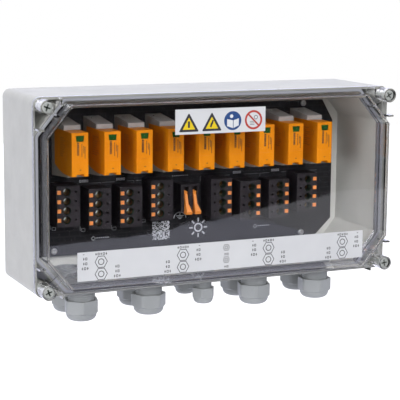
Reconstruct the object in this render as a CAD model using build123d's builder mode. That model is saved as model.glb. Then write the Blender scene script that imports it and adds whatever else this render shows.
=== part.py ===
from build123d import *
from math import hypot, sqrt
import os

os.makedirs("parts", exist_ok=True)

# DC combiner box: a wall-mounted grey enclosure with a clear screwed lid. Inside is a circuit
# board with nine plug-in surge arresters, eight four-pole push-in terminal blocks and one
# two-pole lever terminal. Ten cable glands leave through the bottom wall.
# Frame: +X to the right, +Z up, the wall-side face on y = 0 and the lid towards -Y.
# The origin is the middle of the wall-side face. Depths are measured from that face.

# ---- enclosure ------------------------------------------------------------------------------
box_width = 400.0
box_height = 200.0
base_depth = 100.0
lid_depth = 25.0
box_corner_radius = 8.0
wall = 3.0
back_edge_radius = 2.5
rim_width = 5.5
rim_depth = 6.0

# The sealed room is a rectangle with its four corners cut off, which leaves a dry corner
# compartment outside the seal for each lid screw and wall-fixing hole.
corner_cut_x = 30.0
corner_cut_z = 36.0
partition = 2.0
room_corner_radius = 4.0

# ---- lid ------------------------------------------------------------------------------------
flange_depth = 6.0
window_inset = 7.0
window_wall = 3.0
window_corner_radius = 3.0
window_cut_shift = -2.9
window_edge_radius = 1.2
tube_radius = 7.5
tube_rim = 0.6
shelf_thickness = 1.8
shelf_reach = 6.0
shelf_depth = 15.0
shelf_x = 24.0
shelf_z = 31.0
web_thickness = 2.2
web_length = 18.0
web_reach_x = 9.0
web_reach_z = 7.0
web_angle = 38.0
groove_outer = (2.2, 1.2)
groove_inner = (5.0, -1.6)
groove_depth = 3.0

# ---- lid screws and wall fixing -------------------------------------------------------------
lid_screw_x = 191.5
lid_screw_z = 91.5
post_radius = 6.0
screw_head_radius = 5.5
screw_head_depth = 4.8
screw_head_sink = 1.0
screw_shank_radius = 2.4
screw_bore_depth = 40.0
screw_shank_length = 56.0
screw_fit = 0.06
head_fit = 0.2
head_edge_radius = 0.8
recess_length = 7.4
recess_width = 1.5
recess_depth = 2.4
fixing_x = 192.0
fixing_z = 77.5
fixing_hole_radius = 2.75

# ---- labels on the lid ----------------------------------------------------------------------
label_thickness = 0.3
gland_label = (0.0, -67.7, 325.0, 29.5)
warning_label = (-7.6, 72.2, 100.8, 25.4)

# ---- circuit board --------------------------------------------------------------------------
board_front = 9.0
board_thickness = 1.6
board_half_width = 187.0
board_half_height = 80.0
board_top_cut = (15.0, 26.0)
board_bottom_cut = (21.0, 20.0)
board_screw_x = 148.5
board_screw_z = 74.3
standoff_radius = 4.5
board_screw_radius = 1.5
board_screw_hole = 1.7
board_screw_length = 5.5
board_screw_head_radius = 3.4
board_screw_head_depth = 2.2
board_screw_edge = 1.2
# cross slot: length, width, depth, turn
board_screw_slot = (3.6, 0.7, 1.1, 30.0)

# ---- surge arresters ------------------------------------------------------------------------
pole_pitch = 35.3
arrester_count = 9
arrester_width = 18.0
module_top = 59.5
module_bottom = 14.5
module_back = 19.4
module_front = 74.0
module_heel = 22.0
module_heel_mid = (40.0, 15.9)
module_toe = 60.0
base_clearance = 0.3
arrester_back_top = 69.2
arrester_back_bottom = 8.0
upper_arm_front = 50.0
upper_arm_top = 64.6
lower_arm_front = 62.0
lower_arm_bottom = 12.6
blade_heights = (48.0, 30.0)
blade_width = 1.2
blade_height = 6.0
blade_length = 8.0
blade_slot_clearance = 0.25
seam_height = 30.2
seam_width = 0.9
seam_depth = 0.6
flag_window_top = 56.6
flag_window_bottom = 50.2
flag_window_half_top = 4.7
flag_window_half_bottom = 3.9
flag_window_depth = 1.0
latch_notch_width = 8.0
latch_notch_height = 2.5
latch_notch_depth = 12.0
# window for the remote contact's finger in the base's upper arm: width, length, depth
finger_window = (2.6, 6.5, 7.0)
finger_window_place = (-3.5, 19.0)
module_edge_radius = 0.7

# ---- push-in terminal blocks ----------------------------------------------------------------
block_width = 25.0
block_front = 36.0
block_height = 43.6
# how far the blocks of the left (-1) and right (+1) half sit above or below their row
block_rise = {-1: 0.9, 1: -0.9}
terminal_pitch = 9.9
poles_per_block = 4
upper_block_top = -1.1
lower_block_top = -6.0
first_pole_drop = 6.7
button_offset = {-1: 10.3, 1: 9.5}
test_offset = 8.2
button_size = 3.9
button_fit = 0.1
button_proud = 1.4
button_length = 13.0
button_slot_depth = 14.6
button_edge = 0.35
# screwdriver slot in the button's face: length, width, depth
button_slot = (0.7, 2.6, 0.6)
entry_shift = 1.4
entry_mouth_radius = 4.4
entry_radius = 2.5
entry_mouth_depth = 5.0
entry_depth = 17.0
test_hole_radius = 1.3
test_hole_depth = 6.0
cage_radius = 2.4
cage_bore = 1.8
cage_front = 29.0
cage_length = 9.0
cage_floor = 1.0
pin_size = 1.0
pin_tail = 1.6
pin_hole_radius = 0.9

# ---- lever terminal -------------------------------------------------------------------------
lever_block_width = 21.0
lever_block_top = -7.5
lever_block_bottom = -37.8
lever_block_front = 30.0
lever_pitch = 10.4
lever_stem_width = 3.2
lever_slot_width = 5.6
lever_slot_shift = 1.0
lever_pivot_y = -25.0
lever_pivot_z = -17.0
lever_slot_top = -9.8
lever_slot_back = 21.2
trunnion_radius = 1.5
trunnion_fit = 0.06
trunnion_length = 7.2
trunnion_end_gap = 0.2
# lever outline as (y, z) points: stem from the pivot, and the thumb tab at its lower end
lever_stem = (
    (-23.2, -14.6), (-26.5, -14.4), (-31.6, -18.2), (-37.6, -35.8), (-36.6, -38.8),
    (-31.2, -38.8), (-30.6, -24.0), (-27.0, -19.6), (-23.2, -19.2),
)
lever_tab = ((-30.9, -29.0), (-35.4, -29.0), (-38.6, -36.4), (-37.8, -39.4), (-31.2, -39.4))
# the tab's own flare, as (x, z) points beside the lever's middle
tab_flare = ((-1.6, -28.0), (1.6, -28.0), (4.6, -36.6), (4.9, -40.0), (-2.3, -40.0), (-2.0, -36.0))

# ---- cable glands ---------------------------------------------------------------------------
# each gland: distance from the middle, depth in front of the wall face, turn of its nut
large_glands = (
    (-137.5, 22.0, 7.0), (-137.5, 65.0, 16.0),
    (-62.1, 22.0, 33.0), (-62.1, 65.0, 49.0),
    (62.1, 22.0, 36.0), (62.1, 65.0, 14.0),
    (137.5, 22.0, 42.0), (137.5, 65.0, 23.0),
)
small_glands = ((0.0, 19.0, 30.0), (0.0, 68.0, 0.0))
thread_fit = 0.1
# spigot radius, neck radius, flange across flats, nut across flats, cable bore radius,
# neck height, nut length, locknut height
large_gland = (12.5, 13.8, 31.0, 33.0, 8.6, 10.0, 21.4, 6.0)
small_gland = (8.0, 8.4, 20.0, 22.0, 5.0, 8.5, 16.8, 5.0)
flange_height = 5.0
flange_turn = 12.0
neck_in_nut = 7.0
ridge_count = 4
ridge_pitch = 2.2
first_ridge = 0.5
ridge_rise = 0.6
nut_mouth_fit = 0.9
nut_mouth_depth = 1.8
seal_seat = 0.62
spigot_end = 2.0
hexagon_end = 0.56
chamfer_end = 0.68
dome_bend = 0.88
dome_width = 0.965
dome_bend_width = 0.93
dome_tip = 0.72
nut_corner_trim = 0.96


def front(depth):
    """Drawing plane facing the viewer, at this depth in front of the wall-side face."""
    return Plane.XZ.offset(depth)


def side(x):
    """Drawing plane across the box at this x, with its axes along +Y and +Z."""
    return Plane.YZ.offset(x)


def room_outline(inset, cut_shift=0.0):
    """Corners of the room's outline: inset from the box edge, its cut corners moved outwards."""
    half_width = box_width / 2 - inset
    half_height = box_height / 2 - inset
    slant = hypot(corner_cut_x, corner_cut_z)
    normal_x = corner_cut_z / slant
    normal_z = corner_cut_x / slant
    reach = (box_width / 2 - wall - corner_cut_x) * normal_x + (box_height / 2 - wall) * normal_z
    reach += cut_shift
    top_x = (reach - half_height * normal_z) / normal_x
    side_z = (reach - half_width * normal_x) / normal_z
    quarter = [(half_width, side_z), (top_x, half_height)]
    left = [(-x, z) for x, z in reversed(quarter)]
    below = [(-x, -z) for x, z in quarter]
    right = [(x, -z) for x, z in reversed(quarter)]
    return quarter + left + below + right


def room_face(inset, cut_shift, radius):
    """The room's outline as a face with rounded corners."""
    with BuildSketch(Plane.XY, mode=Mode.PRIVATE) as outline:
        Polygon(*room_outline(inset, cut_shift), align=None)
        fillet(outline.vertices(), radius)
    return outline.sketch_local


def four(x, z):
    """The same point in all four corners."""
    return [(x, z), (-x, z), (-x, -z), (x, -z)]


def save(part, name):
    """Labels a finished sub-part and writes it as its own STEP file."""
    part.label = name
    export_step(part, f"parts/{name}.step")


def arrester_x(index):
    return (index - (arrester_count - 1) / 2) * pole_pitch


def terminal_blocks():
    """Centre x, top z and side of the buttons (-1 left, +1 right) of each terminal block."""
    blocks = []
    for column in (-4, -3, -2, -1, 1, 2, 3, 4):
        top = upper_block_top if abs(column) in (1, 4) else lower_block_top
        side = -1 if column < 0 else 1
        blocks.append((column * pole_pitch, top + block_rise[side], side))
    return blocks


def pole_heights(top):
    return [top - first_pole_drop - pole * terminal_pitch for pole in range(poles_per_block)]


# ---- enclosure base -------------------------------------------------------------------------
with BuildPart() as enclosure_base:
    with BuildSketch(front(0)):
        RectangleRounded(box_width, box_height, box_corner_radius)
    extrude(amount=base_depth)
    fillet(faces().sort_by(Axis.Y)[-1].edges(), back_edge_radius)
    # sealed room, and the narrower opening inside its rim
    with BuildSketch(front(wall)):
        add(room_face(wall, 0.0, room_corner_radius))
    extrude(amount=base_depth - wall - rim_depth, mode=Mode.SUBTRACT)
    with BuildSketch(front(base_depth - rim_depth)):
        add(room_face(rim_width, wall - rim_width, room_corner_radius))
    extrude(amount=rim_depth, mode=Mode.SUBTRACT)
    # corner compartments, with a post for each lid screw
    with BuildSketch(front(wall)):
        RectangleRounded(box_width - 2 * wall, box_height - 2 * wall, box_corner_radius - wall)
        add(room_face(-wall, partition, room_corner_radius), mode=Mode.SUBTRACT)
        with Locations(*four(lid_screw_x, lid_screw_z)):
            Circle(post_radius, mode=Mode.SUBTRACT)
    extrude(amount=base_depth - wall, mode=Mode.SUBTRACT)
    with BuildSketch(front(base_depth - screw_bore_depth)):
        with Locations(*four(lid_screw_x, lid_screw_z)):
            Circle(screw_shank_radius + screw_fit)
    extrude(amount=screw_bore_depth, mode=Mode.SUBTRACT)
    with BuildSketch(front(0)):
        with Locations(*four(fixing_x, fixing_z)):
            Circle(fixing_hole_radius)
    extrude(amount=wall, mode=Mode.SUBTRACT)
    # standoffs that carry the circuit board
    with BuildSketch(front(wall)):
        with Locations(*four(board_screw_x, board_screw_z)):
            Circle(standoff_radius)
            Circle(board_screw_radius, mode=Mode.SUBTRACT)
    extrude(amount=board_front - board_thickness - wall)
    # gland holes through the bottom wall
    with BuildSketch(Plane.XY.offset(-box_height / 2)):
        for glands, family in ((large_glands, large_gland), (small_glands, small_gland)):
            with Locations(*[(x, -depth) for x, depth, _ in glands]):
                Circle(family[0] + thread_fit)
    extrude(amount=wall, mode=Mode.SUBTRACT)
save(enclosure_base.part, "enclosure_base")

# ---- clear lid ------------------------------------------------------------------------------
with BuildPart() as enclosure_lid:
    with BuildSketch(front(base_depth)):
        RectangleRounded(box_width, box_height, box_corner_radius)
    extrude(amount=flange_depth)
    with BuildSketch(front(base_depth)):
        add(room_face(window_inset, window_cut_shift, window_corner_radius))
    extrude(amount=lid_depth)
    fillet(faces().sort_by(Axis.Y)[0].edges(), window_edge_radius)
    # screw tubes, and the webs and shelves that tie them to the window box
    with BuildSketch(front(base_depth + flange_depth)):
        for corner_x, corner_z in four(1, 1):
            shelf_mid_z = box_height / 2 - shelf_z
            with Locations((corner_x * (box_width - window_inset) / 2, corner_z * shelf_mid_z)):
                Rectangle(shelf_reach, shelf_thickness)
            with Locations((corner_x * (box_width / 2 - shelf_x),
                            corner_z * (box_height - window_inset) / 2)):
                Rectangle(shelf_thickness, shelf_reach)
            web_mid = (corner_x * (lid_screw_x - web_reach_x), corner_z * (lid_screw_z - web_reach_z))
            with Locations(Location(web_mid, web_angle * corner_x * corner_z)):
                Rectangle(web_length, web_thickness)
    extrude(amount=shelf_depth)
    with BuildSketch(front(base_depth)):
        with Locations(*four(lid_screw_x, lid_screw_z)):
            Circle(tube_radius)
    extrude(amount=lid_depth + tube_rim)
    # the hollow behind the window
    with BuildSketch(front(base_depth)):
        hollow_shift = window_cut_shift - window_wall
        add(room_face(window_inset + window_wall, hollow_shift, window_corner_radius))
    extrude(amount=lid_depth - window_wall, mode=Mode.SUBTRACT)
    # bores for the screw shanks and pockets for their heads
    with BuildSketch(front(base_depth)):
        with Locations(*four(lid_screw_x, lid_screw_z)):
            Circle(screw_shank_radius + screw_fit)
    extrude(amount=lid_depth + tube_rim, mode=Mode.SUBTRACT)
    with BuildSketch(front(base_depth + lid_depth - screw_head_sink - screw_head_depth)):
        with Locations(*four(lid_screw_x, lid_screw_z)):
            Circle(screw_head_radius + head_fit)
    extrude(amount=lid_depth, mode=Mode.SUBTRACT)
    # groove for the gasket
    with BuildSketch(front(base_depth)):
        add(room_face(*groove_outer, room_corner_radius))
        add(room_face(*groove_inner, room_corner_radius), mode=Mode.SUBTRACT)
    extrude(amount=groove_depth, mode=Mode.SUBTRACT)
save(enclosure_lid.part, "enclosure_lid")

with BuildPart() as lid_gasket:
    with BuildSketch(front(base_depth)):
        add(room_face(*groove_outer, room_corner_radius))
        add(room_face(*groove_inner, room_corner_radius), mode=Mode.SUBTRACT)
    extrude(amount=groove_depth)
save(lid_gasket.part, "lid_gasket")

with BuildPart() as lid_labels:
    for centre_x, centre_z, width, height in (gland_label, warning_label):
        with BuildSketch(front(base_depth + lid_depth)):
            with Locations((centre_x, centre_z)):
                Rectangle(width, height)
        extrude(amount=label_thickness)
save(lid_labels.part, "lid_labels")

# ---- lid screws, each left at its own angle -------------------------------------------------
screw_names = ("upper_left", "lower_left", "upper_right", "lower_right")
screw_places = ((-1, 1), (-1, -1), (1, 1), (1, -1))
screw_angles = (-20.0, 20.0, 32.0, 8.0)
head_front = base_depth + lid_depth - screw_head_sink
for corner, (x_sign, z_sign), angle in zip(screw_names, screw_places, screw_angles):
    centre = (x_sign * lid_screw_x, z_sign * lid_screw_z)
    with BuildPart() as lid_screw:
        with BuildSketch(front(head_front - screw_head_depth - screw_shank_length)):
            with Locations(centre):
                Circle(screw_shank_radius)
        extrude(amount=screw_shank_length)
        with BuildSketch(front(head_front - screw_head_depth)):
            with Locations(centre):
                Circle(screw_head_radius)
        extrude(amount=screw_head_depth)
        fillet(edges().sort_by(Axis.Y)[0], head_edge_radius)
        with BuildSketch(front(head_front - recess_depth)):
            with Locations(Location(centre, angle)):
                Rectangle(recess_length, recess_width)
                Rectangle(recess_width, recess_length)
        extrude(amount=recess_depth, mode=Mode.SUBTRACT)
    save(lid_screw.part, f"lid_screw_{corner}")

# ---- circuit board --------------------------------------------------------------------------
pin_points = []
for block_x, block_top, button_side in terminal_blocks():
    entry_x = block_x + button_side * entry_shift
    pin_points += [(entry_x, height) for height in pole_heights(block_top)]
lever_entry_z = (lever_block_top + lever_block_bottom) / 2
pin_points += [(sign * lever_pitch / 2, lever_entry_z) for sign in (-1, 1)]

with BuildPart() as circuit_board:
    with BuildSketch(front(board_front - board_thickness)):
        right_edge = [
            (board_half_width - board_bottom_cut[0], -board_half_height),
            (board_half_width, -board_half_height + board_bottom_cut[1]),
            (board_half_width, board_half_height - board_top_cut[1]),
            (board_half_width - board_top_cut[0], board_half_height),
        ]
        left_edge = [(-x, z) for x, z in reversed(right_edge)]
        Polygon(*(right_edge + left_edge), align=None)
        with Locations(*four(board_screw_x, board_screw_z)):
            Circle(board_screw_hole, mode=Mode.SUBTRACT)
        with Locations(*pin_points):
            Circle(pin_hole_radius, mode=Mode.SUBTRACT)
    extrude(amount=board_thickness)
save(circuit_board.part, "circuit_board")

with BuildPart() as board_screws:
    with BuildSketch(front(board_front - board_screw_length)):
        with Locations(*four(board_screw_x, board_screw_z)):
            Circle(board_screw_radius)
    extrude(amount=board_screw_length)
    with BuildSketch(front(board_front)):
        with Locations(*four(board_screw_x, board_screw_z)):
            Circle(board_screw_head_radius)
    extrude(amount=board_screw_head_depth)
    fillet(faces().filter_by(Axis.Y).group_by(Axis.Y)[0].edges(), board_screw_edge)
    slot_length, slot_width, slot_depth, slot_turn = board_screw_slot
    with BuildSketch(front(board_front + board_screw_head_depth - slot_depth)):
        with Locations(*four(board_screw_x, board_screw_z)):
            Rectangle(slot_length, slot_width, rotation=slot_turn)
            Rectangle(slot_width, slot_length, rotation=slot_turn)
    extrude(amount=slot_depth, mode=Mode.SUBTRACT)
save(board_screws.part, "board_screws")

# ---- surge arresters ------------------------------------------------------------------------
heel_y, heel_z = module_heel_mid
with BuildPart() as arrester_bases:
    pocket_back = -(module_back - base_clearance)
    for index in range(arrester_count):
        with BuildSketch(side(arrester_x(index) - arrester_width / 2)):
            with BuildLine():
                foot = Polyline(
                    (-lower_arm_front, module_bottom - base_clearance),
                    (-lower_arm_front, lower_arm_bottom),
                    (-board_front, arrester_back_bottom),
                    (-board_front, arrester_back_top),
                    (-upper_arm_front, upper_arm_top),
                    (-upper_arm_front, module_top + base_clearance),
                    (pocket_back, module_top + base_clearance),
                    (pocket_back, module_heel - base_clearance),
                )
                ThreePointArc(
                    foot @ 1,
                    (-heel_y, heel_z - base_clearance),
                    (-module_toe, module_bottom - base_clearance),
                )
                Line((-module_toe, module_bottom - base_clearance), foot @ 0)
            make_face()
        extrude(amount=arrester_width)
    # sockets for the contact blades
    with BuildSketch(front(module_back - blade_length - 1)):
        for index in range(arrester_count):
            with Locations(*[(arrester_x(index), height) for height in blade_heights]):
                Rectangle(blade_width + 2 * blade_slot_clearance,
                          blade_height + 2 * blade_slot_clearance)
    extrude(amount=blade_length + 1, mode=Mode.SUBTRACT)
    # small status-contact hole in the sloping top
    with BuildSketch(Plane.XY.offset(arrester_back_top - finger_window[2])):
        for index in range(arrester_count):
            with Locations((arrester_x(index) + finger_window_place[0], -finger_window_place[1])):
                Rectangle(finger_window[0], finger_window[1])
    extrude(amount=finger_window[2], mode=Mode.SUBTRACT)
save(arrester_bases.part, "arrester_bases")

for index in range(arrester_count):
    centre_x = arrester_x(index)
    with BuildPart() as arrester_module:
        with BuildSketch(side(centre_x - arrester_width / 2)):
            with BuildLine():
                shell = Polyline(
                    (-module_toe, module_bottom),
                    (-module_front, module_bottom),
                    (-module_front, module_top),
                    (-module_back, module_top),
                    (-module_back, module_heel),
                )
                ThreePointArc(shell @ 1, (-heel_y, heel_z), shell @ 0)
            make_face()
        extrude(amount=arrester_width)
        fillet(faces().sort_by(Axis.Y)[0].edges(), module_edge_radius)
        # window over the status flag
        with BuildSketch(front(module_front - flag_window_depth)):
            Polygon(
                (centre_x - flag_window_half_bottom, flag_window_bottom),
                (centre_x + flag_window_half_bottom, flag_window_bottom),
                (centre_x + flag_window_half_top, flag_window_top),
                (centre_x - flag_window_half_top, flag_window_top),
                align=None,
            )
        extrude(amount=flag_window_depth, mode=Mode.SUBTRACT)
        # seam between the housing's two halves, and the notch over the latch
        with BuildSketch(front(module_front - seam_depth)):
            with Locations((centre_x, seam_height)):
                Rectangle(arrester_width, seam_width)
        extrude(amount=seam_depth, mode=Mode.SUBTRACT)
        with BuildSketch(front(module_front - latch_notch_depth)):
            with Locations((centre_x, module_bottom + latch_notch_height / 2)):
                Rectangle(latch_notch_width, latch_notch_height)
        extrude(amount=latch_notch_depth, mode=Mode.SUBTRACT)
        # contact blades
        with BuildSketch(front(module_back - blade_length)):
            with Locations(*[(centre_x, height) for height in blade_heights]):
                Rectangle(blade_width, blade_height)
        extrude(amount=blade_length)
    save(arrester_module.part, f"arrester_module_{index + 1}")

# ---- terminal housings ----------------------------------------------------------------------
lever_centres = (-lever_pitch / 2, lever_pitch / 2)
with BuildPart() as terminal_housings:
    for block_x, block_top, button_side in terminal_blocks():
        poles = pole_heights(block_top)
        entry_x = block_x + button_side * entry_shift
        with BuildSketch(front(board_front)):
            with Locations((block_x, block_top - block_height / 2)):
                Rectangle(block_width, block_height)
        extrude(amount=block_front - board_front)
        with BuildSketch(front(block_front - button_slot_depth)):
            with Locations(*[(block_x + button_side * button_offset[button_side], z)
                             for z in poles]):
                Rectangle(button_size + 2 * button_fit, button_size + 2 * button_fit)
        extrude(amount=button_slot_depth, mode=Mode.SUBTRACT)
        # funnel-shaped wire entries
        with BuildSketch(front(block_front - entry_depth)):
            with Locations(*[(entry_x, z) for z in poles]):
                Circle(entry_radius)
        extrude(amount=entry_depth, mode=Mode.SUBTRACT)
        for z in poles:
            with BuildSketch(front(block_front)):
                with Locations((entry_x, z)):
                    Circle(entry_mouth_radius)
            with BuildSketch(front(block_front - entry_mouth_depth)):
                with Locations((entry_x, z)):
                    Circle(entry_radius)
            loft(mode=Mode.SUBTRACT)
        with BuildSketch(front(block_front - test_hole_depth)):
            with Locations(*[(block_x - button_side * test_offset, z) for z in poles]):
                Circle(test_hole_radius)
        extrude(amount=test_hole_depth, mode=Mode.SUBTRACT)
        with BuildSketch(front(board_front)):
            with Locations(*[(entry_x, z) for z in poles]):
                Circle(pin_hole_radius)
        extrude(amount=block_front - entry_depth - board_front, mode=Mode.SUBTRACT)
    # lever terminal
    with BuildSketch(front(board_front)):
        with Locations((0, (lever_block_top + lever_block_bottom) / 2)):
            Rectangle(lever_block_width, lever_block_top - lever_block_bottom)
    extrude(amount=lever_block_front - board_front)
    with BuildSketch(front(lever_slot_back)):
        with Locations(*[(x + lever_slot_shift, (lever_slot_top + lever_block_bottom) / 2)
                         for x in lever_centres]):
            Rectangle(lever_slot_width, lever_slot_top - lever_block_bottom)
    extrude(amount=lever_block_front - lever_slot_back, mode=Mode.SUBTRACT)
    for x in lever_centres:
        hole_start = x + lever_slot_shift - trunnion_length / 2 - trunnion_end_gap
        with BuildSketch(side(hole_start)):
            with Locations((lever_pivot_y, lever_pivot_z)):
                Circle(trunnion_radius + trunnion_fit)
        extrude(amount=trunnion_length + 2 * trunnion_end_gap, mode=Mode.SUBTRACT)
    with BuildSketch(front(board_front)):
        with Locations(*[(x, lever_entry_z) for x in lever_centres]):
            Circle(pin_hole_radius)
    extrude(amount=lever_slot_back - board_front, mode=Mode.SUBTRACT)
save(terminal_housings.part, "terminal_housings")

with BuildPart() as terminal_contacts:
    block_points = pin_points[:-2]
    lever_points = pin_points[-2:]
    with BuildSketch(front(cage_front - cage_length)):
        with Locations(*block_points):
            Circle(cage_radius)
    extrude(amount=cage_length)
    with BuildSketch(front(cage_front - cage_length + cage_floor)):
        with Locations(*block_points):
            Circle(cage_bore)
    extrude(amount=cage_length, mode=Mode.SUBTRACT)
    with BuildSketch(front(board_front - board_thickness - pin_tail)):
        with Locations(*block_points):
            Rectangle(pin_size, pin_size)
    extrude(amount=cage_front - cage_length - board_front + board_thickness + pin_tail)
    with BuildSketch(front(board_front - board_thickness - pin_tail)):
        with Locations(*lever_points):
            Rectangle(pin_size, pin_size)
    extrude(amount=lever_slot_back - board_front + board_thickness + pin_tail)
save(terminal_contacts.part, "terminal_contacts")

# ---- terminal buttons, one body each --------------------------------------------------------
for block_number, (block_x, block_top, button_side) in enumerate(terminal_blocks(), 1):
    button_x = block_x + button_side * button_offset[button_side]
    for pole_number, pole_z in enumerate(pole_heights(block_top), 1):
        with BuildPart() as terminal_button:
            with BuildSketch(front(block_front + button_proud - button_length)):
                with Locations((button_x, pole_z)):
                    Rectangle(button_size, button_size)
            extrude(amount=button_length)
            chamfer(faces().sort_by(Axis.Y)[0].edges(), button_edge)
            slot_length, slot_width, slot_depth = button_slot
            with BuildSketch(front(block_front + button_proud - slot_depth)):
                with Locations((button_x, pole_z)):
                    Rectangle(slot_length, slot_width)
            extrude(amount=slot_depth, mode=Mode.SUBTRACT)
        save(terminal_button.part, f"terminal_button_{block_number}_{pole_number}")

# ---- levers of the lever terminal -----------------------------------------------------------
for name, lever_x in zip(("left", "right"), lever_centres):
    # thumb tab, flared where the thumb presses
    with BuildPart() as thumb_tab:
        with BuildSketch(front(0)):
            Polygon(*[(lever_x + x, z) for x, z in tab_flare], align=None)
        extrude(amount=block_front * 2)
        with BuildSketch(side(lever_x - lever_block_width)):
            Polygon(*lever_tab, align=None)
        extrude(amount=lever_block_width * 2, mode=Mode.INTERSECT)
    with BuildPart() as terminal_lever:
        with BuildSketch(side(lever_x - lever_stem_width / 2)):
            Polygon(*lever_stem, align=None)
        extrude(amount=lever_stem_width)
        add(thumb_tab.part)
        with BuildSketch(side(lever_x + lever_slot_shift - trunnion_length / 2)):
            with Locations((lever_pivot_y, lever_pivot_z)):
                Circle(trunnion_radius)
        extrude(amount=trunnion_length)
    save(terminal_lever.part, f"terminal_lever_{name}")

# ---- cable glands ---------------------------------------------------------------------------
gland_families = ((large_glands, large_gland), (small_glands, small_gland))
under_box = -box_height / 2
under_flange = under_box - flange_height


def gland_points(glands):
    return [(x, -depth) for x, depth, _ in glands]


with BuildPart() as gland_bodies:
    for glands, (spigot, neck, flats, _, bore, neck_height, _, lock_height) in gland_families:
        with BuildSketch(Plane.XY.offset(under_box)):
            with Locations(*gland_points(glands)):
                RegularPolygon(flats / 2, 6, major_radius=False, rotation=flange_turn)
        extrude(amount=-flange_height)
        spigot_top = under_box + wall + lock_height + spigot_end
        with BuildSketch(Plane.XY.offset(spigot_top)):
            with Locations(*gland_points(glands)):
                Circle(spigot)
        extrude(amount=under_box - spigot_top)
        # neck with its thread ridges, reaching down to the seal inside the nut
        with BuildSketch(Plane.XY.offset(under_flange)):
            with Locations(*gland_points(glands)):
                Circle(neck)
        extrude(amount=-neck_height - neck_in_nut)
        for ridge in range(ridge_count):
            with BuildSketch(Plane.XY.offset(under_flange - ridge_pitch * (ridge + first_ridge))):
                with Locations(*gland_points(glands)):
                    Circle(neck + ridge_rise)
            extrude(amount=-ridge_pitch / 2)
        with BuildSketch(Plane.XY.offset(spigot_top)):
            with Locations(*gland_points(glands)):
                Circle(bore)
        extrude(amount=-box_height, mode=Mode.SUBTRACT)
save(gland_bodies.part, "gland_bodies")


def dome_nut(family, turn):
    """One dome nut with its axis on the origin and its upper face on z = 0."""
    _, neck, _, flats, bore, _, length, _ = family
    corner_radius = flats / sqrt(3)
    dome_radius = flats / 2 * dome_width
    with BuildPart() as nut:
        with BuildSketch(Plane.XY):
            RegularPolygon(flats / 2, 6, major_radius=False, rotation=turn)
            Circle(corner_radius * nut_corner_trim, mode=Mode.INTERSECT)
        extrude(amount=-length)
        # the corners are chamfered down to the round dome
        with BuildSketch(Plane.XZ):
            Polygon(
                (0, 0),
                (corner_radius, 0),
                (corner_radius, -length * hexagon_end),
                (dome_radius, -length * chamfer_end),
                (0, -length * chamfer_end),
                align=None,
            )
        revolve(axis=Axis.Z, mode=Mode.INTERSECT)
        with BuildSketch(Plane.XZ):
            with BuildLine():
                Polyline((0, 0), (dome_radius, 0), (dome_radius, -length * chamfer_end))
                ThreePointArc(
                    (dome_radius, -length * chamfer_end),
                    (dome_radius * dome_bend_width, -length * dome_bend),
                    (dome_radius * dome_tip, -length),
                )
                Polyline((dome_radius * dome_tip, -length), (0, -length), (0, 0))
            make_face()
        revolve(axis=Axis.Z)
        # inside: the mouth, the thread room down to the seal's seat, then the cable opening
        with BuildSketch(Plane.XY):
            Circle(neck + nut_mouth_fit)
        extrude(amount=-nut_mouth_depth, mode=Mode.SUBTRACT)
        with BuildSketch(Plane.XY):
            Circle(neck + thread_fit)
        extrude(amount=-length * seal_seat, mode=Mode.SUBTRACT)
        with BuildSketch(Plane.XY):
            Circle(bore)
        extrude(amount=-length, mode=Mode.SUBTRACT)
    return nut.part


with BuildPart() as gland_nuts:
    for glands, family in gland_families:
        nut_top = under_flange - family[5]
        for x, depth, turn in glands:
            with Locations((x, -depth, nut_top)):
                add(dome_nut(family, turn))
save(gland_nuts.part, "gland_nuts")

with BuildPart() as gland_seals:
    for glands, (_, neck, _, _, bore, neck_height, nut_length, _) in gland_families:
        nut_top = under_flange - neck_height
        seal_top = nut_top - neck_in_nut
        seal_bottom = nut_top - nut_length * seal_seat
        with BuildSketch(Plane.XY.offset(seal_top)):
            with Locations(*gland_points(glands)):
                Circle(neck)
                Circle(bore, mode=Mode.SUBTRACT)
        extrude(amount=seal_bottom - seal_top)
save(gland_seals.part, "gland_seals")

with BuildPart() as gland_locknuts:
    for glands, (spigot, _, _, flats, _, _, _, lock_height) in gland_families:
        with BuildSketch(Plane.XY.offset(under_box + wall)):
            with Locations(*gland_points(glands)):
                RegularPolygon(flats / 2, 6, major_radius=False)
                Circle(spigot + thread_fit, mode=Mode.SUBTRACT)
        extrude(amount=lock_height)
save(gland_locknuts.part, "gland_locknuts")
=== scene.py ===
import math
import random

import bmesh
import bpy
from mathutils import Matrix, Vector


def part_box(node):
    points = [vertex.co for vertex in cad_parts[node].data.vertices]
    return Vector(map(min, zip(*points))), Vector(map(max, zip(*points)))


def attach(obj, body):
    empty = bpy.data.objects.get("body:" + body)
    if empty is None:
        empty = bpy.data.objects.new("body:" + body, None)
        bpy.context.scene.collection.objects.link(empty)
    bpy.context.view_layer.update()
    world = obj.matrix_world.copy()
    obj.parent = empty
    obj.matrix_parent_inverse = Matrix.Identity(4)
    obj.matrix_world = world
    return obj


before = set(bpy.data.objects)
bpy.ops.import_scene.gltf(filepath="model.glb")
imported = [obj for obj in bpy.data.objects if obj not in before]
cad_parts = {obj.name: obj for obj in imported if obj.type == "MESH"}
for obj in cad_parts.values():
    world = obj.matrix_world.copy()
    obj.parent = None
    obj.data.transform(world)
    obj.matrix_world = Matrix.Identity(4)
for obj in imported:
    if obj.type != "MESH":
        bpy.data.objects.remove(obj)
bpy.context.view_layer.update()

# The frame is the CAD model's: +X right, +Z up, the wall face on y = 0 and the lid towards -Y.
# Drawing sizes below are in millimetres and are turned to metres where a mesh is made.
MM = 0.001
window_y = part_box("enclosure_lid")[0].y
label_front = -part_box("lid_labels")[0].y / MM
board_front = -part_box("circuit_board")[0].y / MM
block_front = -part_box("terminal_housings")[0].y / MM


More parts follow.
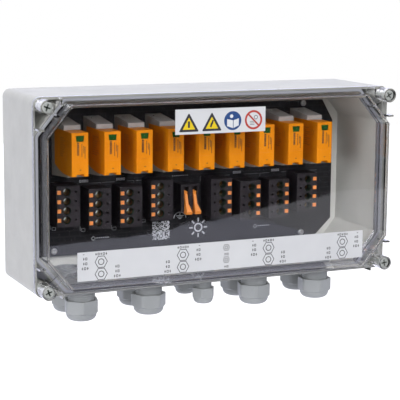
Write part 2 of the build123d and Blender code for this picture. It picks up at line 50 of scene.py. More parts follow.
# ---- shader helpers -------------------------------------------------------------------------
def principled(name, colour, roughness, **sockets):
    """A material with one Principled shader: returns the material, its tree and the shader."""
    material = bpy.data.materials.new(name)
    material.use_nodes = True
    tree = material.node_tree
    tree.nodes.clear()
    output = tree.nodes.new("ShaderNodeOutputMaterial")
    shader = tree.nodes.new("ShaderNodeBsdfPrincipled")
    tree.links.new(shader.outputs["BSDF"], output.inputs["Surface"])
    shader.inputs["Base Color"].default_value = (*colour, 1.0)
    shader.inputs["Roughness"].default_value = roughness
    for socket, value in sockets.items():
        shader.inputs[socket.replace("_", " ")].default_value = value
    return material, tree, shader


def noise(tree, scale, detail=3.0, stretch=(1.0, 1.0, 1.0)):
    """Noise over the object's own coordinates, with scale in cells per metre."""
    coordinates = tree.nodes.new("ShaderNodeTexCoord")
    mapping = tree.nodes.new("ShaderNodeMapping")
    mapping.inputs["Scale"].default_value = stretch
    texture = tree.nodes.new("ShaderNodeTexNoise")
    texture.inputs["Scale"].default_value = scale
    texture.inputs["Detail"].default_value = detail
    tree.links.new(coordinates.outputs["Object"], mapping.inputs["Vector"])
    tree.links.new(mapping.outputs["Vector"], texture.inputs["Vector"])
    return texture.outputs["Fac"]


def ramp(tree, factor, stops):
    """A colour ramp over a factor; stops are (position, colour)."""
    node = tree.nodes.new("ShaderNodeValToRGB")
    elements = node.color_ramp.elements
    while len(elements) < len(stops):
        elements.new(0.5)
    for element, (position, colour) in zip(elements, stops):
        element.position = position
        element.color = (*colour, 1.0)
    tree.links.new(factor, node.inputs["Fac"])
    return node.outputs["Color"]


def spread(tree, factor, low, high):
    """The factor's middle range stretched to run from low to high."""
    node = tree.nodes.new("ShaderNodeMapRange")
    node.inputs["From Min"].default_value = 0.3
    node.inputs["From Max"].default_value = 0.7
    node.inputs["To Min"].default_value = low
    node.inputs["To Max"].default_value = high
    tree.links.new(factor, node.inputs["Value"])
    return node.outputs["Result"]


def bump(tree, shader, heights, distance):
    """Bump from one or more (height, strength) pairs, chained."""
    previous = None
    for height, strength in heights:
        node = tree.nodes.new("ShaderNodeBump")
        node.inputs["Strength"].default_value = strength
        node.inputs["Distance"].default_value = distance
        tree.links.new(height, node.inputs["Height"])
        if previous:
            tree.links.new(previous, node.inputs["Normal"])
        previous = node.outputs["Normal"]
    tree.links.new(previous, shader.inputs["Normal"])


def scaled(colour, factor):
    return tuple(min(1.0, channel * factor) for channel in colour)


def moulded(name, colour, roughness=(0.32, 0.46), shade=0.86, grain=2600.0, depth=0.00003,
            specular=0.5):
    """Injection-moulded plastic: fine spark-eroded grain, slow colour drift, uneven gloss."""
    material, tree, shader = principled(name, colour, roughness[0], Specular_IOR_Level=specular)
    drift = noise(tree, 28.0, 4.0)
    tint = ramp(tree, drift, [(0.35, scaled(colour, shade)), (0.65, scaled(colour, 1.05))])
    tree.links.new(tint, shader.inputs["Base Color"])
    tree.links.new(spread(tree, noise(tree, 140.0, 5.0), *roughness), shader.inputs["Roughness"])
    bump(tree, shader, [(noise(tree, grain, 2.0), 0.35), (noise(tree, 60.0, 2.0), 0.12)], depth)
    return material


def let_lamps_through(material, tint):
    """Lets lamp rays pass glass straight, so that what is behind it is lit."""
    tree = material.node_tree
    output = next(n for n in tree.nodes if n.type == "OUTPUT_MATERIAL")
    shader = output.inputs["Surface"].links[0].from_socket
    path = tree.nodes.new("ShaderNodeLightPath")
    clear = tree.nodes.new("ShaderNodeBsdfTransparent")
    clear.inputs["Color"].default_value = (*tint, 1.0)
    mix = tree.nodes.new("ShaderNodeMixShader")
    tree.links.new(path.outputs["Is Shadow Ray"], mix.inputs["Fac"])
    tree.links.new(shader, mix.inputs[1])
    tree.links.new(clear.outputs["BSDF"], mix.inputs[2])
    tree.links.new(mix.outputs["Shader"], output.inputs["Surface"])


# ---- materials ------------------------------------------------------------------------------
def clear_plastic():
    """Clear polycarbonate with slow moulding waves and a trace of handling haze."""
    colour = (0.975, 0.975, 0.99)
    material, tree, shader = principled(
        "clear_polycarbonate", colour, 0.015, Transmission_Weight=1.0, IOR=1.5
    )
    haze = spread(tree, noise(tree, 45.0, 6.0), 0.0, 0.035)
    tree.links.new(haze, shader.inputs["Roughness"])
    bump(tree, shader, [(noise(tree, 22.0, 1.0), 0.25)], 0.0004)
    let_lamps_through(material, (0.93, 0.93, 0.94))
    return material


def rubber():
    material, tree, shader = principled("gasket_rubber", (0.62, 0.63, 0.66), 0.7)
    tree.links.new(spread(tree, noise(tree, 300.0), 0.6, 0.85), shader.inputs["Roughness"])
    bump(tree, shader, [(noise(tree, 900.0), 0.4)], 0.00005)
    return material


def label_film():
    """White vinyl with a faint orange-peel gloss."""
    material, tree, shader = principled("label_film", (0.76, 0.77, 0.79), 0.4)
    tint = ramp(
        tree, noise(tree, 20.0, 3.0), [(0.3, (0.72, 0.73, 0.76)), (0.7, (0.79, 0.80, 0.825))]
    )
    tree.links.new(tint, shader.inputs["Base Color"])
    tree.links.new(spread(tree, noise(tree, 200.0), 0.32, 0.5), shader.inputs["Roughness"])
    bump(tree, shader, [(noise(tree, 700.0, 1.0), 0.1)], 0.00003)
    return material


def ink(name, colour, patch=0.8):
    """Printed ink: slightly uneven cover, matt."""
    material, tree, shader = principled(name, colour, 0.5)
    cover = noise(tree, 900.0, 4.0)
    tint = ramp(tree, cover, [(0.35, scaled(colour, patch)), (0.6, colour)])
    tree.links.new(tint, shader.inputs["Base Color"])
    tree.links.new(spread(tree, cover, 0.4, 0.6), shader.inputs["Roughness"])
    return material


def board_laminate():
    """Black solder mask over faint copper tracks."""
    material, tree, shader = principled(
        "board_laminate", (0.012, 0.012, 0.014), 0.35, Specular_IOR_Level=0.16
    )
    coordinates = tree.nodes.new("ShaderNodeTexCoord")
    turn = tree.nodes.new("ShaderNodeMapping")
    turn.inputs["Rotation"].default_value = (math.radians(90), 0.0, 0.0)
    tree.links.new(coordinates.outputs["Object"], turn.inputs["Vector"])
    tracks = tree.nodes.new("ShaderNodeTexBrick")
    tracks.inputs["Scale"].default_value = 42.0
    tracks.inputs["Mortar Size"].default_value = 0.035
    tracks.inputs["Mortar Smooth"].default_value = 0.3
    tracks.inputs["Color1"].default_value = (0.0, 0.0, 0.0, 1.0)
    tracks.inputs["Color2"].default_value = (0.15, 0.15, 0.15, 1.0)
    tracks.inputs["Mortar"].default_value = (1.0, 1.0, 1.0, 1.0)
    tree.links.new(turn.outputs["Vector"], tracks.inputs["Vector"])
    tint = ramp(
        tree, tracks.outputs["Color"], [(0.0, (0.012, 0.012, 0.014)), (1.0, (0.022, 0.021, 0.024))]
    )
    tree.links.new(tint, shader.inputs["Base Color"])
    tree.links.new(spread(tree, noise(tree, 160.0, 4.0), 0.3, 0.45), shader.inputs["Roughness"])
    bump(tree, shader, [(tracks.outputs["Color"], 0.25), (noise(tree, 1500.0), 0.1)], 0.00004)
    return material


def metal(name, colour, roughness, stretch):
    """Turned or drawn metal with fine lines along one direction."""
    material, tree, shader = principled(name, colour, roughness[0], Metallic=1.0)
    lines = noise(tree, 1200.0, 3.0, stretch)
    tint = ramp(tree, lines, [(0.3, scaled(colour, 0.8)), (0.7, colour)])
    tree.links.new(tint, shader.inputs["Base Color"])
    tree.links.new(spread(tree, lines, *roughness), shader.inputs["Roughness"])
    bump(tree, shader, [(lines, 0.2)], 0.00002)
    return material


def module_plastic():
    """Orange arrester housing: satin, with slow drift and faint flow marks down its height."""
    colour = (0.76, 0.25, 0.004)
    material, tree, shader = principled("module_orange", colour, 0.4, Specular_IOR_Level=0.12)
    drift = noise(tree, 40.0, 4.0, (1.0, 1.0, 0.4))
    tint = ramp(tree, drift, [(0.35, (0.71, 0.22, 0.003)), (0.65, (0.79, 0.265, 0.005))])
    tree.links.new(tint, shader.inputs["Base Color"])
    tree.links.new(spread(tree, noise(tree, 220.0, 5.0), 0.34, 0.5), shader.inputs["Roughness"])
    bump(tree, shader, [(noise(tree, 3000.0, 2.0), 0.3)], 0.00003)
    return material


HOUSING = moulded("housing_grey", (0.60, 0.602, 0.565), (0.42, 0.56), 0.96)
CLEAR = clear_plastic()
GASKET = rubber()
FILM = label_film()
SCREW_PLASTIC = moulded("lid_screw_plastic", (0.42, 0.44, 0.42), (0.35, 0.5), 0.9)
BOARD = board_laminate()
STEEL = metal("screw_steel", (0.62, 0.62, 0.63), (0.22, 0.38), (1.0, 1.0, 6.0))
BRASS = metal("contact_brass", (0.30, 0.21, 0.09), (0.25, 0.45), (1.0, 0.2, 1.0))
BRONZE = metal("sleeve_bronze", (0.15, 0.075, 0.035), (0.35, 0.5), (1.0, 0.2, 1.0))
CLAMP = metal("clamp_steel", (0.68, 0.73, 0.70), (0.6, 0.75), (1.0, 1.0, 4.0))
ARRESTER_BASE = moulded("arrester_base_plastic", (0.36, 0.345, 0.33), (0.4, 0.55), 0.85)
MODULE = module_plastic()
BUTTON = moulded("button_orange", (0.95, 0.33, 0.08), (0.35, 0.5), 0.88)
LEVER = moulded("lever_orange", (0.84, 0.27, 0.035), (0.32, 0.46), 0.86)
TERMINAL = moulded("terminal_plastic", (0.026, 0.022, 0.026), (0.42, 0.58), 0.8, specular=0.2)
GLAND = moulded("gland_plastic", (0.36, 0.375, 0.385), (0.42, 0.56), 0.9)
INK = ink("label_ink", (0.07, 0.07, 0.075))
SIGN_INK = ink("sign_ink", (0.012, 0.012, 0.014))
MARK = ink("module_mark", (0.035, 0.012, 0.006), 0.7)
FAINT_MARK = ink("module_side_mark", (0.46, 0.14, 0.004), 0.8)
SILK = ink("silkscreen", (0.62, 0.64, 0.68), 0.75)
FAINT_SILK = ink("silkscreen_thin", (0.17, 0.175, 0.19), 0.7)
YELLOW = ink("sign_yellow", (0.90, 0.66, 0.0), 0.92)
BLUE = ink("sign_blue", (0.006, 0.055, 0.21), 0.9)
RED = ink("sign_red", (0.52, 0.045, 0.03), 0.9)
WHITE = ink("sign_white", (0.85, 0.86, 0.88), 0.95)
GREEN = moulded("status_green", (0.016, 0.075, 0.012), (0.15, 0.3), 0.8, specular=0.3)
# Dark green-black plastic that paints shade: on the floors of the lid screws' recesses and as dark
# collars in the wire entries.
PAINTED_SHADE = moulded("recess_shadow", (0.012, 0.022, 0.014), (0.6, 0.8), 0.8, specular=0.1)

# ---- the CAD bodies keep their shape and get their finish ------------------------------------
node_materials = {
    "enclosure_base": HOUSING, "enclosure_lid": CLEAR, "lid_gasket": GASKET, "lid_labels": FILM,
    "lid_screw": SCREW_PLASTIC, "circuit_board": BOARD, "board_screws": STEEL,
    "arrester_bases": ARRESTER_BASE, "arrester_module": MODULE, "terminal_housings": TERMINAL,
    "terminal_contacts": BRASS, "terminal_button": BUTTON, "terminal_lever": LEVER,
    "gland_bodies": GLAND, "gland_nuts": GLAND, "gland_seals": GASKET, "gland_locknuts": GLAND,
}
for node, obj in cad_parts.items():
    family = max((key for key in node_materials if node.startswith(key)), key=len)
    obj.data.materials.clear()
    obj.data.materials.append(node_materials[family])


# ---- mesh helpers ---------------------------------------------------------------------------
def facing_viewer(x, depth, z):
    """Places a drawing with its origin at (x, z), this far in front of the wall face."""
    return Matrix(((1, 0, 0, x), (0, 0, -1, -depth), (0, 1, 0, z), (0, 0, 0, 1)))


def facing_left(x, y, z):
    """Places a drawing on a face that looks towards -X; its right-hand side is -Y."""
    return Matrix(((0, 0, -1, x), (-1, 0, 0, y), (0, 1, 0, z), (0, 0, 0, 1)))


class Print:
    """Flat pieces with a real thickness, collected in one mesh."""

    def __init__(self, thickness):
        self.bm = bmesh.new()
        self.thickness = thickness

    def fill(self, outline, place):
        """A closed outline of (u, v) points, anticlockwise."""
        low = [self.bm.verts.new(place @ Vector((u, v, 0.0))) for u, v in outline]
        high = [self.bm.verts.new(place @ Vector((u, v, self.thickness))) for u, v in outline]
        self.bm.faces.new(high)
        self.bm.faces.new(reversed(low))
        count = len(outline)
        for i in range(count):
            j = (i + 1) % count
            self.bm.faces.new((low[i], low[j], high[j], high[i]))

    def ring(self, outer, inner, place):
        """The band between two outlines with the same number of points."""
        rows = []
        for outline, w in ((outer, 0.0), (outer, self.thickness), (inner, self.thickness),
                           (inner, 0.0)):
            rows.append([self.bm.verts.new(place @ Vector((u, v, w))) for u, v in outline])
        count = len(outer)
        for k in range(4):
            first, second = rows[k], rows[(k + 1) % 4]
            for i in range(count):
                j = (i + 1) % count
                self.bm.faces.new((first[i], first[j], second[j], second[i]))

    def bar(self, u, v, width, height, place, turn=0.0):
        self.fill(rectangle(u, v, width, height, turn), place)

    def finish(self, name, material, body, bevel=0.0):
        self.bm.normal_update()
        mesh = bpy.data.meshes.new(name)
        self.bm.to_mesh(mesh)
        self.bm.free()
        mesh.transform(Matrix.Scale(MM, 4))
        return add_piece(name, mesh, material, body, bevel)


def add_piece(name, mesh, material, body, bevel=0.0):
    mesh.materials.append(material)
    piece = bpy.data.objects.new(name, mesh)
    bpy.context.scene.collection.objects.link(piece)
    if bevel:
        edge = piece.modifiers.new("edge", "BEVEL")
        edge.width = bevel * MM
        edge.segments = 2
        edge.limit_method = "ANGLE"
    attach(piece, body)
    return piece


def rectangle(u, v, width, height, turn=0.0):
    c, s = math.cos(math.radians(turn)), math.sin(math.radians(turn))
    corners = ((-1, -1), (1, -1), (1, 1), (-1, 1))
    points = [(a * width / 2, b * height / 2) for a, b in corners]
    return [(u + c * a - s * b, v + s * a + c * b) for a, b in points]


def polygon(radius, sides, turn=0.0, u=0.0, v=0.0):
    points = []
    for i in range(sides):
        angle = math.radians(turn) + math.tau * i / sides
        points.append((u + radius * math.cos(angle), v + radius * math.sin(angle)))
    return points


def rounded(points, radius, steps=4):
    """The same outline with its corners rounded by short curves."""
    result = []
    count = len(points)
    for i in range(count):
        corner = Vector(points[i])
        before = (Vector(points[i - 1]) - corner).normalized() * radius
        after = (Vector(points[(i + 1) % count]) - corner).normalized() * radius
        for k in range(steps + 1):
            t = k / steps
            p = corner + before * (1 - t) ** 2 + after * t ** 2
            result.append((p.x, p.y))
    return result


def triangle(size, v=0.0):
    """An upright triangle with its base at v and this side length."""
    return [(-size / 2, v), (size / 2, v), (0.0, v + size * math.sin(math.radians(60)))]


# ---- the gland plan on the lid's lower label -------------------------------------------------
# Five columns of gland symbols, each with its two rows; drops are measured from the plan's middle.
PRINT_DEPTH = 0.06
plan_z = -70.0
plan_columns = (-137.5, -48.8, 0.0, 48.8, 137.5)
large_symbol, large_drops = 13.8, (6.2, -6.2)
small_symbol, small_drops = 7.6, (10.3, -2.6)
title_drop, small_title_drops = 14.2, (3.4, -9.8)
words_offset, outer_words_drop, inner_words_drop = 17.0, 10.2, 0.3
word_bars = ((5.2, 0.0), (5.2, -4.9), (8.4, -9.8))


def gland_symbol(printed, x, z, width):
    place = facing_viewer(x, label_front, z)
    line = 0.3 + width * 0.035
    printed.ring(polygon(width / 2, 6), polygon(width / 2 - line, 6), place)
    printed.ring(polygon(width * 0.24, 24), polygon(width * 0.24 - line, 24), place)


def words(printed, x, z, bars, height=2.7):
    """Small open and closed blocks that stand in for lines of lettering."""
    place = facing_viewer(x, label_front, z)
    for width, drop in bars:
        letters = max(2, round(width / 2.7))
        step = width / letters
        for k in range(letters):
            u = -width / 2 + step * (k + 0.5)
            if k % 2:
                outer = rectangle(u, drop, step * 0.78, height)
                inner = rectangle(u, drop, step * 0.78 - 1.1, height - 1.1)
                printed.ring(outer, inner, place)
            else:
                printed.bar(u, drop, 0.7, height, place)
                printed.bar(u, drop, step * 0.6, 0.6, place)


plan = Print(PRINT_DEPTH)
for index, x in enumerate(plan_columns):
    if x == 0.0:
        for drop in small_drops:
            gland_symbol(plan, x, plan_z + drop, small_symbol)
        for drop in small_title_drops:
            words(plan, x, plan_z + drop, ((5.4, 0.0),), 2.2)
        continue
    for drop in large_drops:
        gland_symbol(plan, x, plan_z + drop, large_symbol)
    words(plan, x, plan_z + title_drop, ((13.6, 0.0),), 2.4)
    outer = -1 if index in (0, 3) else 1
    words(plan, x + outer * words_offset, plan_z + outer_words_drop, word_bars)
    words(plan, x - outer * words_offset, plan_z + inner_words_drop, word_bars)
    plan.bar(x + outer * 18.4, plan_z + 14.6, 1.6, 0.6, facing_viewer(0.0, label_front, 0.0))
plan.finish("gland_plan_print", INK, "lid")

# ---- the plain pictograms on the lid's upper label -------------------------------------------
sign_z = 62.0
sign_mid = 71.6
first_triangle_x, second_triangle_x, disc_x, ring_x = -43.2, -17.8, 5.6, 29.2
triangle_size = 22.2
triangle_inset, triangle_lift = 8.2, 2.3
disc_radius = 9.7
ring_width = 1.9

borders = Print(PRINT_DEPTH)
yellows = Print(PRINT_DEPTH)
for x in (first_triangle_x, second_triangle_x):
    place = facing_viewer(x, label_front, sign_z)
    outer = rounded(triangle(triangle_size), 1.8)
    inner = rounded(triangle(triangle_size - triangle_inset, triangle_lift), 0.9)
    borders.ring(outer, inner, place)
    yellows.fill(inner, place)
inset = PRINT_DEPTH
for x, heights in ((first_triangle_x, ((7.4, 2.1, 6.6),)),
                   (second_triangle_x, ((9.0, 1.9, 4.2), (5.9, 1.9, 4.2)))):
    place = facing_viewer(x, label_front + inset, sign_z)
    for k, (v, width, height) in enumerate(heights):
        shift = 0.0 if len(heights) == 1 else (0.7 if k == 0 else -0.7)
        borders.bar(shift, v, width, height, place, -18.0 if len(heights) > 1 else 0.0)
borders.finish("sign_borders", SIGN_INK, "lid")
yellows.finish("sign_triangles", YELLOW, "lid")

disc = Print(PRINT_DEPTH)
disc.fill(polygon(disc_radius, 48), facing_viewer(disc_x, label_front, sign_mid))
disc.finish("sign_disc", BLUE, "lid")

sheet_marks = Print(PRINT_DEPTH)
place = facing_viewer(disc_x, label_front + inset, sign_mid)
sheet_marks.fill(polygon(1.9, 20, 0.0, -1.4, 4.6), place)
sheet_marks.fill([(-6.4, -5.4), (0.2, -7.6), (0.2, 0.4), (-6.4, 1.8)], place)
sheet_marks.fill([(0.9, -7.6), (6.8, -5.0), (6.8, 2.2), (0.9, 0.4)], place)
sheet_marks.finish("sign_disc_marks", WHITE, "lid")

ban = Print(PRINT_DEPTH)
place = facing_viewer(ring_x, label_front, sign_mid)
ban.ring(polygon(disc_radius + 0.2, 48), polygon(disc_radius - ring_width, 48), place)
ban.finish("sign_ring", RED, "lid")
slash = Print(PRINT_DEPTH)
place = facing_viewer(ring_x, label_front + inset, sign_mid)
slash.bar(0.0, 0.0, 2 * disc_radius - 2.2, 1.7, place, -45.0)
slash.finish("sign_slash", RED, "lid")
under_slash = Print(PRINT_DEPTH)
place = facing_viewer(ring_x, label_front, sign_mid)
under_slash.ring(polygon(2.2, 20, 0.0, 2.6, 2.6), polygon(1.6, 20, 0.0, 2.6, 2.6), place)
for v in (-1.6, -3.2, -4.8):
    under_slash.bar(-1.6, v, 5.0, 0.5, place)
under_slash.finish("sign_ring_marks", INK, "lid")

# ---- status flags and printed marks on the arrester modules ----------------------------------
# Places are measured from the module's upper front edge, or on its side from its lower back edge.
flag_depth = 0.35
flag_outline = [(-3.75, -9.1), (3.75, -9.1), (4.5, -3.1), (-4.5, -3.1)]
flag_setback = 1.0
title_x, title_top, title_pitch, title_width = -2.2, -10.6, 1.95, 2.3
print_columns = ((1.9, -11.5, -24.0), (3.9, -13.5, -20.5), (5.2, -14.5, -26.0))
print_width = 0.8
print_gap = 0.4
side_rows_y, side_rows_top, side_row_pitch = 38.0, 37.0, 2.3
side_ring_y, side_ring_z = 62.0, 33.0
random.seed(7)
for index in range(1, 10):
    node = f"arrester_module_{index}"
    low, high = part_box(node)
    middle = (low.x + high.x) / 2 / MM
    top = high.z / MM
    bottom = low.z / MM
    front_depth = -low.y / MM

    flag = Print(flag_depth)
    flag.fill(flag_outline, facing_viewer(middle, front_depth - flag_setback, top))
    flag.finish(f"status_flag_{index}", GREEN, node)

    marks = Print(PRINT_DEPTH)
    place = facing_viewer(middle, front_depth, top)
    for row in range(7):
        length = random.uniform(1.2, 1.7)
        marks.bar(title_x, title_top - row * title_pitch, title_width, length, place)
    for column, first, last in print_columns:
        v = first
        while v > last:
            length = random.uniform(0.9, 2.0)
            marks.bar(column, v - length / 2, print_width, length, place)
            v -= length + print_gap
    marks.bar(0.2, -38.0, 1.6, 0.8, place)
    marks.finish(f"module_marks_{index}", MARK, node)

    side_marks = Print(PRINT_DEPTH)
    place = facing_left(low.x / MM, 0.0, bottom)
    for row in range(9):
        width = random.uniform(9.0, 19.0)
        row_z = side_rows_top - row * side_row_pitch
        side_marks.bar(side_rows_y + width / 2, row_z, width, print_width, place)
    side_marks.ring(polygon(3.0, 20, 0.0, side_ring_y, side_ring_z),
                    polygon(2.6, 20, 0.0, side_ring_y, side_ring_z), place)
    side_marks.finish(f"module_side_marks_{index}", FAINT_MARK, node)

# ---- painted shade: dark cross plates on the floors of the lid screws' crossed recesses -------
recess_depth = 2.35
recess_length = 7.2
recess_width = 1.3
recess_thickness = 0.5
screw_turns = {"upper_left": -20.0, "lower_left": 20.0, "upper_right": 32.0, "lower_right": 8.0}
for corner, turn in screw_turns.items():
    node = f"lid_screw_{corner}"
    low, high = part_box(node)
    head_x = (low.x + high.x) / 2 / MM
    head_z = (low.z + high.z) / 2 / MM
    recess_shade_plate = Print(recess_thickness)
    place = facing_viewer(head_x, -low.y / MM - recess_depth, head_z)
    recess_shade_plate.bar(0.0, 0.0, recess_length, recess_width, place, turn)
    recess_shade_plate.bar(0.0, 0.0, recess_width, recess_length, place, turn)
    recess_shade_plate.finish(f"{node}_recess", PAINTED_SHADE, node)

# ---- silkscreen on the circuit board ---------------------------------------------------------
thin = Print(PRINT_DEPTH)
place = facing_viewer(0.0, board_front, 0.0)
line = 0.5
guide_z = -3.2
title_z = -0.6
guide_spans = ((-168.0, -120.5), (-108.0, -95.5), (-93.5, -79.0), (-65.0, -57.3), (-55.0, -24.0),
               (21.6, 58.0), (75.0, 93.5), (95.5, 107.0), (122.0, 168.0))
for start, end in guide_spans:
    thin.bar((start + end) / 2, guide_z, end - start, line, place)
for x in (-95.3, -57.2, 21.6, 95.3):
    thin.bar(x, guide_z - 2.4, line, 5.0, place)
thin.finish("board_guide_lines", FAINT_SILK, "enclosure")

title_step = 2.6
silk = Print(PRINT_DEPTH)
for x in (-114.5, -72.5, 66.5, 114.5):
    for k in range(4):
        letter_x = x - 3.9 + k * title_step
        silk.ring(rectangle(letter_x, title_z, 1.9, 2.6),
                  rectangle(letter_x, title_z, 0.9, 1.6), place)
for x, z in ((-148.4, -50.0), (-115.4, -53.5), (-79.8, -54.3), (-45.6, -48.0)):
    silk.ring(rectangle(x, z, 4.2, 3.4), rectangle(x, z, 3.5, 2.7), place)
    silk.bar(x - 3.4, z + 1.6, 0.4, 4.4, place)
for x in (-97.0, 97.0):
    silk.ring(rectangle(x - 7.0, -63.6, 3.8, 3.8, 45.0),
              rectangle(x - 7.0, -63.6, 2.8, 2.8, 45.0), place)
    for k in range(6):
        silk.bar(x - 2.6 + k * 2.5, -63.3, 1.6, 1.0, place)
for k in range(8):
    silk.bar(-11.5 + k * 2.5, title_z, 1.4, 0.8, place)
silk.ring(rectangle(-6.0, -23.6, 2.6, 6.0), rectangle(-6.0, -23.6, 1.9, 5.3), place)
silk.finish("board_silkscreen", SILK, "enclosure")

# earth symbol: an arch over a stem and three bars
earth = Print(PRINT_DEPTH)
earth_place = facing_viewer(-2.6, board_front, -48.0)
arch_steps = 16
arch_angles = [math.pi * k / arch_steps for k in range(arch_steps + 1)]
arch = [(7.6 * math.cos(a), 7.0 * math.sin(a)) for a in arch_angles]
arch_inner = [(6.8 * math.cos(a), 6.2 * math.sin(a)) for a in arch_angles]
for k in range(arch_steps):
    earth.fill([arch_inner[k], arch[k], arch[k + 1], arch_inner[k + 1]], earth_place)
earth.bar(0.0, 5.6, 0.8, 5.8, earth_place)
for width, v in ((9.0, 2.6), (6.0, 1.0), (3.0, -0.6)):
    earth.bar(0.0, v, width, 0.7, earth_place)
earth.finish("board_earth_symbol", SILK, "enclosure")

# plain square pattern that encodes nothing
code = Print(PRINT_DEPTH)
code_place = facing_viewer(-35.4, board_front, -70.6)
code_width = 20.4
cells = 21
cell = code_width / cells
cell_print = cell * 0.98
cell_cover = 0.6
random.seed(21)
for row in range(cells):
    for column in range(cells):
        if random.random() < cell_cover:
            code.bar((column + 0.5) * cell, (row + 0.5) * cell, cell_print, cell_print, code_place)
code.finish("board_code_pattern", SILK, "enclosure")

# a plain sun mark: a disc and eight rays
sun = Print(PRINT_DEPTH)
sun_place = facing_viewer(19.6, board_front, -60.0)
sun.ring(polygon(5.2, 32), polygon(3.4, 32), sun_place)
ray_count = 8
ray_middle = 8.8
for k in range(ray_count):
    angle = math.tau * k / ray_count
    u, v = ray_middle * math.cos(angle), ray_middle * math.sin(angle)
    sun.bar(u, v, 4.2, 1.7, sun_place, math.degrees(angle))
sun.finish("board_sun_mark", SILK, "enclosure")

# ---- clamp springs, bronze sleeves and dark collars of painted shade in the wire entries -----
# Eight blocks, four each side of the lever terminal; the springs show in the left ones only.
block_pitch = 35.3
high_block_top, low_block_top = -1.1, -6.0
block_rise = {-1: 0.9, 1: -0.9}
pole_pitch = 9.9
first_pole_drop = 6.7
entry_shift = 1.4
sleeve_sides = 32
shade_ring_steps = ((0.15, 4.28), (2.4, 3.42), (2.4, 3.30), (0.15, 4.16))
sleeve_steps = ((2.4, 3.42), (4.7, 2.56), (4.7, 2.46), (2.4, 3.30))
spring_outline = ((-3.9, 0.7), (-2.7, 0.6), (-1.5, 3.5), (-3.0, 2.7))
spring_depth = 0.3


def add_collar(bm, x, z, steps):
    """A thin conical collar; steps are the (depth, radius) corners of its wall."""
    rows = []
    for depth, radius in steps:
        place = facing_viewer(x, block_front - depth, z)
        rows.append([bm.verts.new(place @ Vector((u, v, 0.0)))
                     for u, v in polygon(radius, sleeve_sides)])
    for k in range(4):
        first, second = rows[k], rows[(k + 1) % 4]
        for i in range(sleeve_sides):
            j = (i + 1) % sleeve_sides
            bm.faces.new((first[i], first[j], second[j], second[i]))


def finish_collars(bm, name, material):
    bmesh.ops.recalc_face_normals(bm, faces=bm.faces)
    mesh = bpy.data.meshes.new(name)
    bm.to_mesh(mesh)
    bm.free()
    mesh.transform(Matrix.Scale(MM, 4))
    for face in mesh.polygons:
        face.use_smooth = True
    add_piece(name, mesh, material, "enclosure")


springs = Print(spring_depth)
# The dark collars paint shade: a ring round each mouth, and in the right-hand blocks a liner down
# the whole funnel in place of the bronze sleeve.
entry_painted_shade_rings = bmesh.new()
sleeves = bmesh.new()
shade_liner_mesh = bmesh.new()
for column in (-4, -3, -2, -1, 1, 2, 3, 4):
    side = -1 if column < 0 else 1
    top = (high_block_top if abs(column) in (1, 4) else low_block_top) + block_rise[side]
    for pole in range(4):
        x = column * block_pitch + side * entry_shift
        z = top - first_pole_drop - pole * pole_pitch
        if side < 0:
            springs.fill(spring_outline, facing_viewer(x, block_front - spring_depth, z))
        add_collar(entry_painted_shade_rings, x, z, shade_ring_steps)
        add_collar(sleeves if side < 0 else shade_liner_mesh, x, z, sleeve_steps)
springs.finish("clamp_springs", CLAMP, "enclosure")
finish_collars(entry_painted_shade_rings, "entry_painted_shade_rings", PAINTED_SHADE)
finish_collars(sleeves, "entry_sleeves", BRONZE)
finish_collars(shade_liner_mesh, "entry_painted_shade_liners", PAINTED_SHADE)


# ---- studio ---------------------------------------------------------------------------------
def area_light(name, place, target, size, power):
    data = bpy.data.lights.new(name, "AREA")
    data.shape = "RECTANGLE"
    data.size, data.size_y = size
    data.energy = power
    light = bpy.data.objects.new(name, data)
    light.location = place
    direction = Vector(target) - Vector(place)
    light.rotation_euler = direction.to_track_quat("-Z", "Y").to_euler()
    bpy.context.scene.collection.objects.link(light)
    return light


box_middle = (0.0, -0.06, 0.0)
area_light("key", (-0.1, -2.35, 0.95), box_middle, (0.9, 0.7), 27.0)
area_light("top", (0.0, 0.35, 1.5), box_middle, (1.4, 1.0), 11.5)
area_light("left", (-2.0, -0.9, 0.35), box_middle, (0.9, 0.9), 16.5)


def backdrop_world():
    """White where it is looked at, cool and bright in gloss, a soft grey fill on matt surfaces."""
    world = bpy.data.worlds.new("studio")
    world.use_nodes = True
    tree = world.node_tree
    tree.nodes.clear()
    output = tree.nodes.new("ShaderNodeOutputWorld")
    background = tree.nodes.new("ShaderNodeBackground")
    tree.links.new(background.outputs["Background"], output.inputs["Surface"])
    path = tree.nodes.new("ShaderNodeLightPath")
    colour = None
    steps = (("Is Glossy Ray", (1.45, 1.47, 1.8)), ("Is Transmission Ray", (1.3, 1.3, 1.4)),
             ("Diffuse Depth", (0.20, 0.20, 0.21)))
    for socket, level in steps:
        mix = tree.nodes.new("ShaderNodeMix")
        mix.data_type = "RGBA"
        mix.inputs["A"].default_value = (1.0, 1.0, 1.0, 1.0)
        mix.inputs["B"].default_value = (*level, 1.0)
        factor = path.outputs[socket]
        if socket == "Diffuse Depth":
            limit = tree.nodes.new("ShaderNodeMath")
            limit.operation = "MINIMUM"
            limit.inputs[1].default_value = 1.0
            tree.links.new(factor, limit.inputs[0])
            factor = limit.outputs["Value"]
        tree.links.new(factor, mix.inputs["Factor"])
        if colour:
            tree.links.new(colour, mix.inputs["A"])
        colour = mix.outputs["Result"]
    tree.links.new(colour, background.inputs["Color"])
    bpy.context.scene.world = world


backdrop_world()

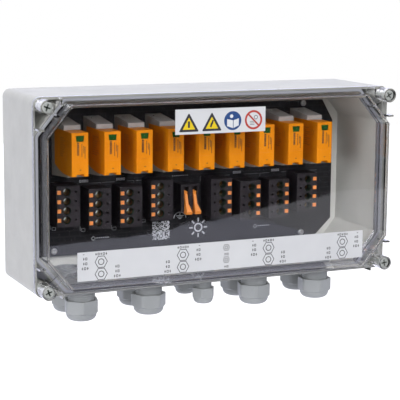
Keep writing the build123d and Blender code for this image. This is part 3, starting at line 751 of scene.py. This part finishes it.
# pale floor, well below the hanging box
floor_material, floor_tree, floor_shader = principled("floor", (0.9, 0.9, 0.9), 0.9)
floor_shader.inputs["Emission Color"].default_value = (1.0, 1.0, 1.0, 1.0)
floor_path = floor_tree.nodes.new("ShaderNodeLightPath")
floor_tree.links.new(floor_path.outputs["Is Camera Ray"], floor_shader.inputs["Emission Strength"])
floor_tint = ramp(
    floor_tree, noise(floor_tree, 2.0), [(0.3, (0.88, 0.88, 0.88)), (0.7, (0.92, 0.92, 0.92))]
)
floor_tree.links.new(floor_tint, floor_shader.inputs["Base Color"])
floor_mesh = bpy.data.meshes.new("floor")
floor_z = -0.75
floor_half = 6.0
corners = [(-floor_half, -floor_half), (floor_half, -floor_half), (floor_half, floor_half),
           (-floor_half, floor_half)]
floor_mesh.from_pydata([(x, y, floor_z) for x, y in corners], [], [(0, 1, 2, 3)])
floor_mesh.materials.append(floor_material)
floor = bpy.data.objects.new("floor", floor_mesh)
floor.visible_glossy = False
bpy.context.scene.collection.objects.link(floor)

# Cards that the clear lid shows and the camera doesn't see directly. Two are mirrored in it: a
# dark one over its upper part, and a grey one that dims the pale surroundings towards the right.
# Their outlines are (x, z) places on the lid as seen from the camera.
dark_card_y, grey_card_y = -2.1, -2.2
dark_outline = ((-1400.0, -44.0), (-139.0, -44.0), (-63.0, -38.0), (3.0, -26.0), (163.0, -6.5),
                (330.0, -14.0), (330.0, 420.0), (-1400.0, 420.0))
grey_outline = ((8.0, -26.5), (330.0, -115.0), (330.0, 260.0), (8.0, 260.0))
camera_place = Vector((-0.6163, -1.4255, 0.2307))
mirror_eye = Vector((camera_place.x, 2 * window_y - camera_place.y, camera_place.z))


def seen_in_window(x, z, card_y):
    """The point on a card at this depth that the camera sees mirrored at (x, z) of the lid."""
    on_lid = Vector((x * MM, window_y, z * MM))
    ray = on_lid - mirror_eye
    return mirror_eye + ray * ((card_y - mirror_eye.y) / ray.y)


def studio_card(name, points, colour=(1.0, 1.0, 1.0), glow=0.0):
    """A flat black card, or one that glows; it lights nothing and casts no shadow."""
    mesh = bpy.data.meshes.new(name)
    mesh.from_pydata(points, [], [tuple(range(len(points)))])
    material, _, shader = principled(name, (0.01, 0.01, 0.01), 1.0, Specular_IOR_Level=0.0)
    shader.inputs["Emission Color"].default_value = (*colour, 1.0)
    shader.inputs["Emission Strength"].default_value = glow
    mesh.materials.append(material)
    card = bpy.data.objects.new(name, mesh)
    card.visible_camera = False
    card.visible_diffuse = False
    card.visible_shadow = False
    bpy.context.scene.collection.objects.link(card)
    return card


studio_card("dark_card", [seen_in_window(x, z, dark_card_y) for x, z in dark_outline])
studio_card("grey_card", [seen_in_window(x, z, grey_card_y) for x, z in grey_outline],
            (0.93, 0.93, 1.0), 0.8)

# a black card on the right, seen only through the clear lid, draws its right-hand edges dark
edge_corners = [(0.55, -0.45, -0.5), (0.95, 1.2, -0.5), (0.95, 1.2, 0.5), (0.55, -0.45, 0.5)]
edge_card = studio_card("edge_card", edge_corners)
edge_card.visible_glossy = False

# ---- camera ---------------------------------------------------------------------------------
azimuth = -24.26
elevation = 9.51
roll = 0.45
camera_data = bpy.data.cameras.new("camera")
camera_data.sensor_width = 36.0
camera_data.lens = 127.84
camera_data.clip_start = 0.05
camera_data.clip_end = 50.0
camera = bpy.data.objects.new("camera", camera_data)
turn = Matrix.Rotation(math.radians(azimuth), 4, "Z")
tip = Matrix.Rotation(math.radians(90.0 - elevation), 4, "X")
lean = Matrix.Rotation(math.radians(roll), 4, "Z")
camera.matrix_world = Matrix.Translation(camera_place) @ turn @ tip @ lean
bpy.context.scene.collection.objects.link(camera)
bpy.context.scene.camera = camera
bpy.context.scene.view_settings.view_transform = "Standard"
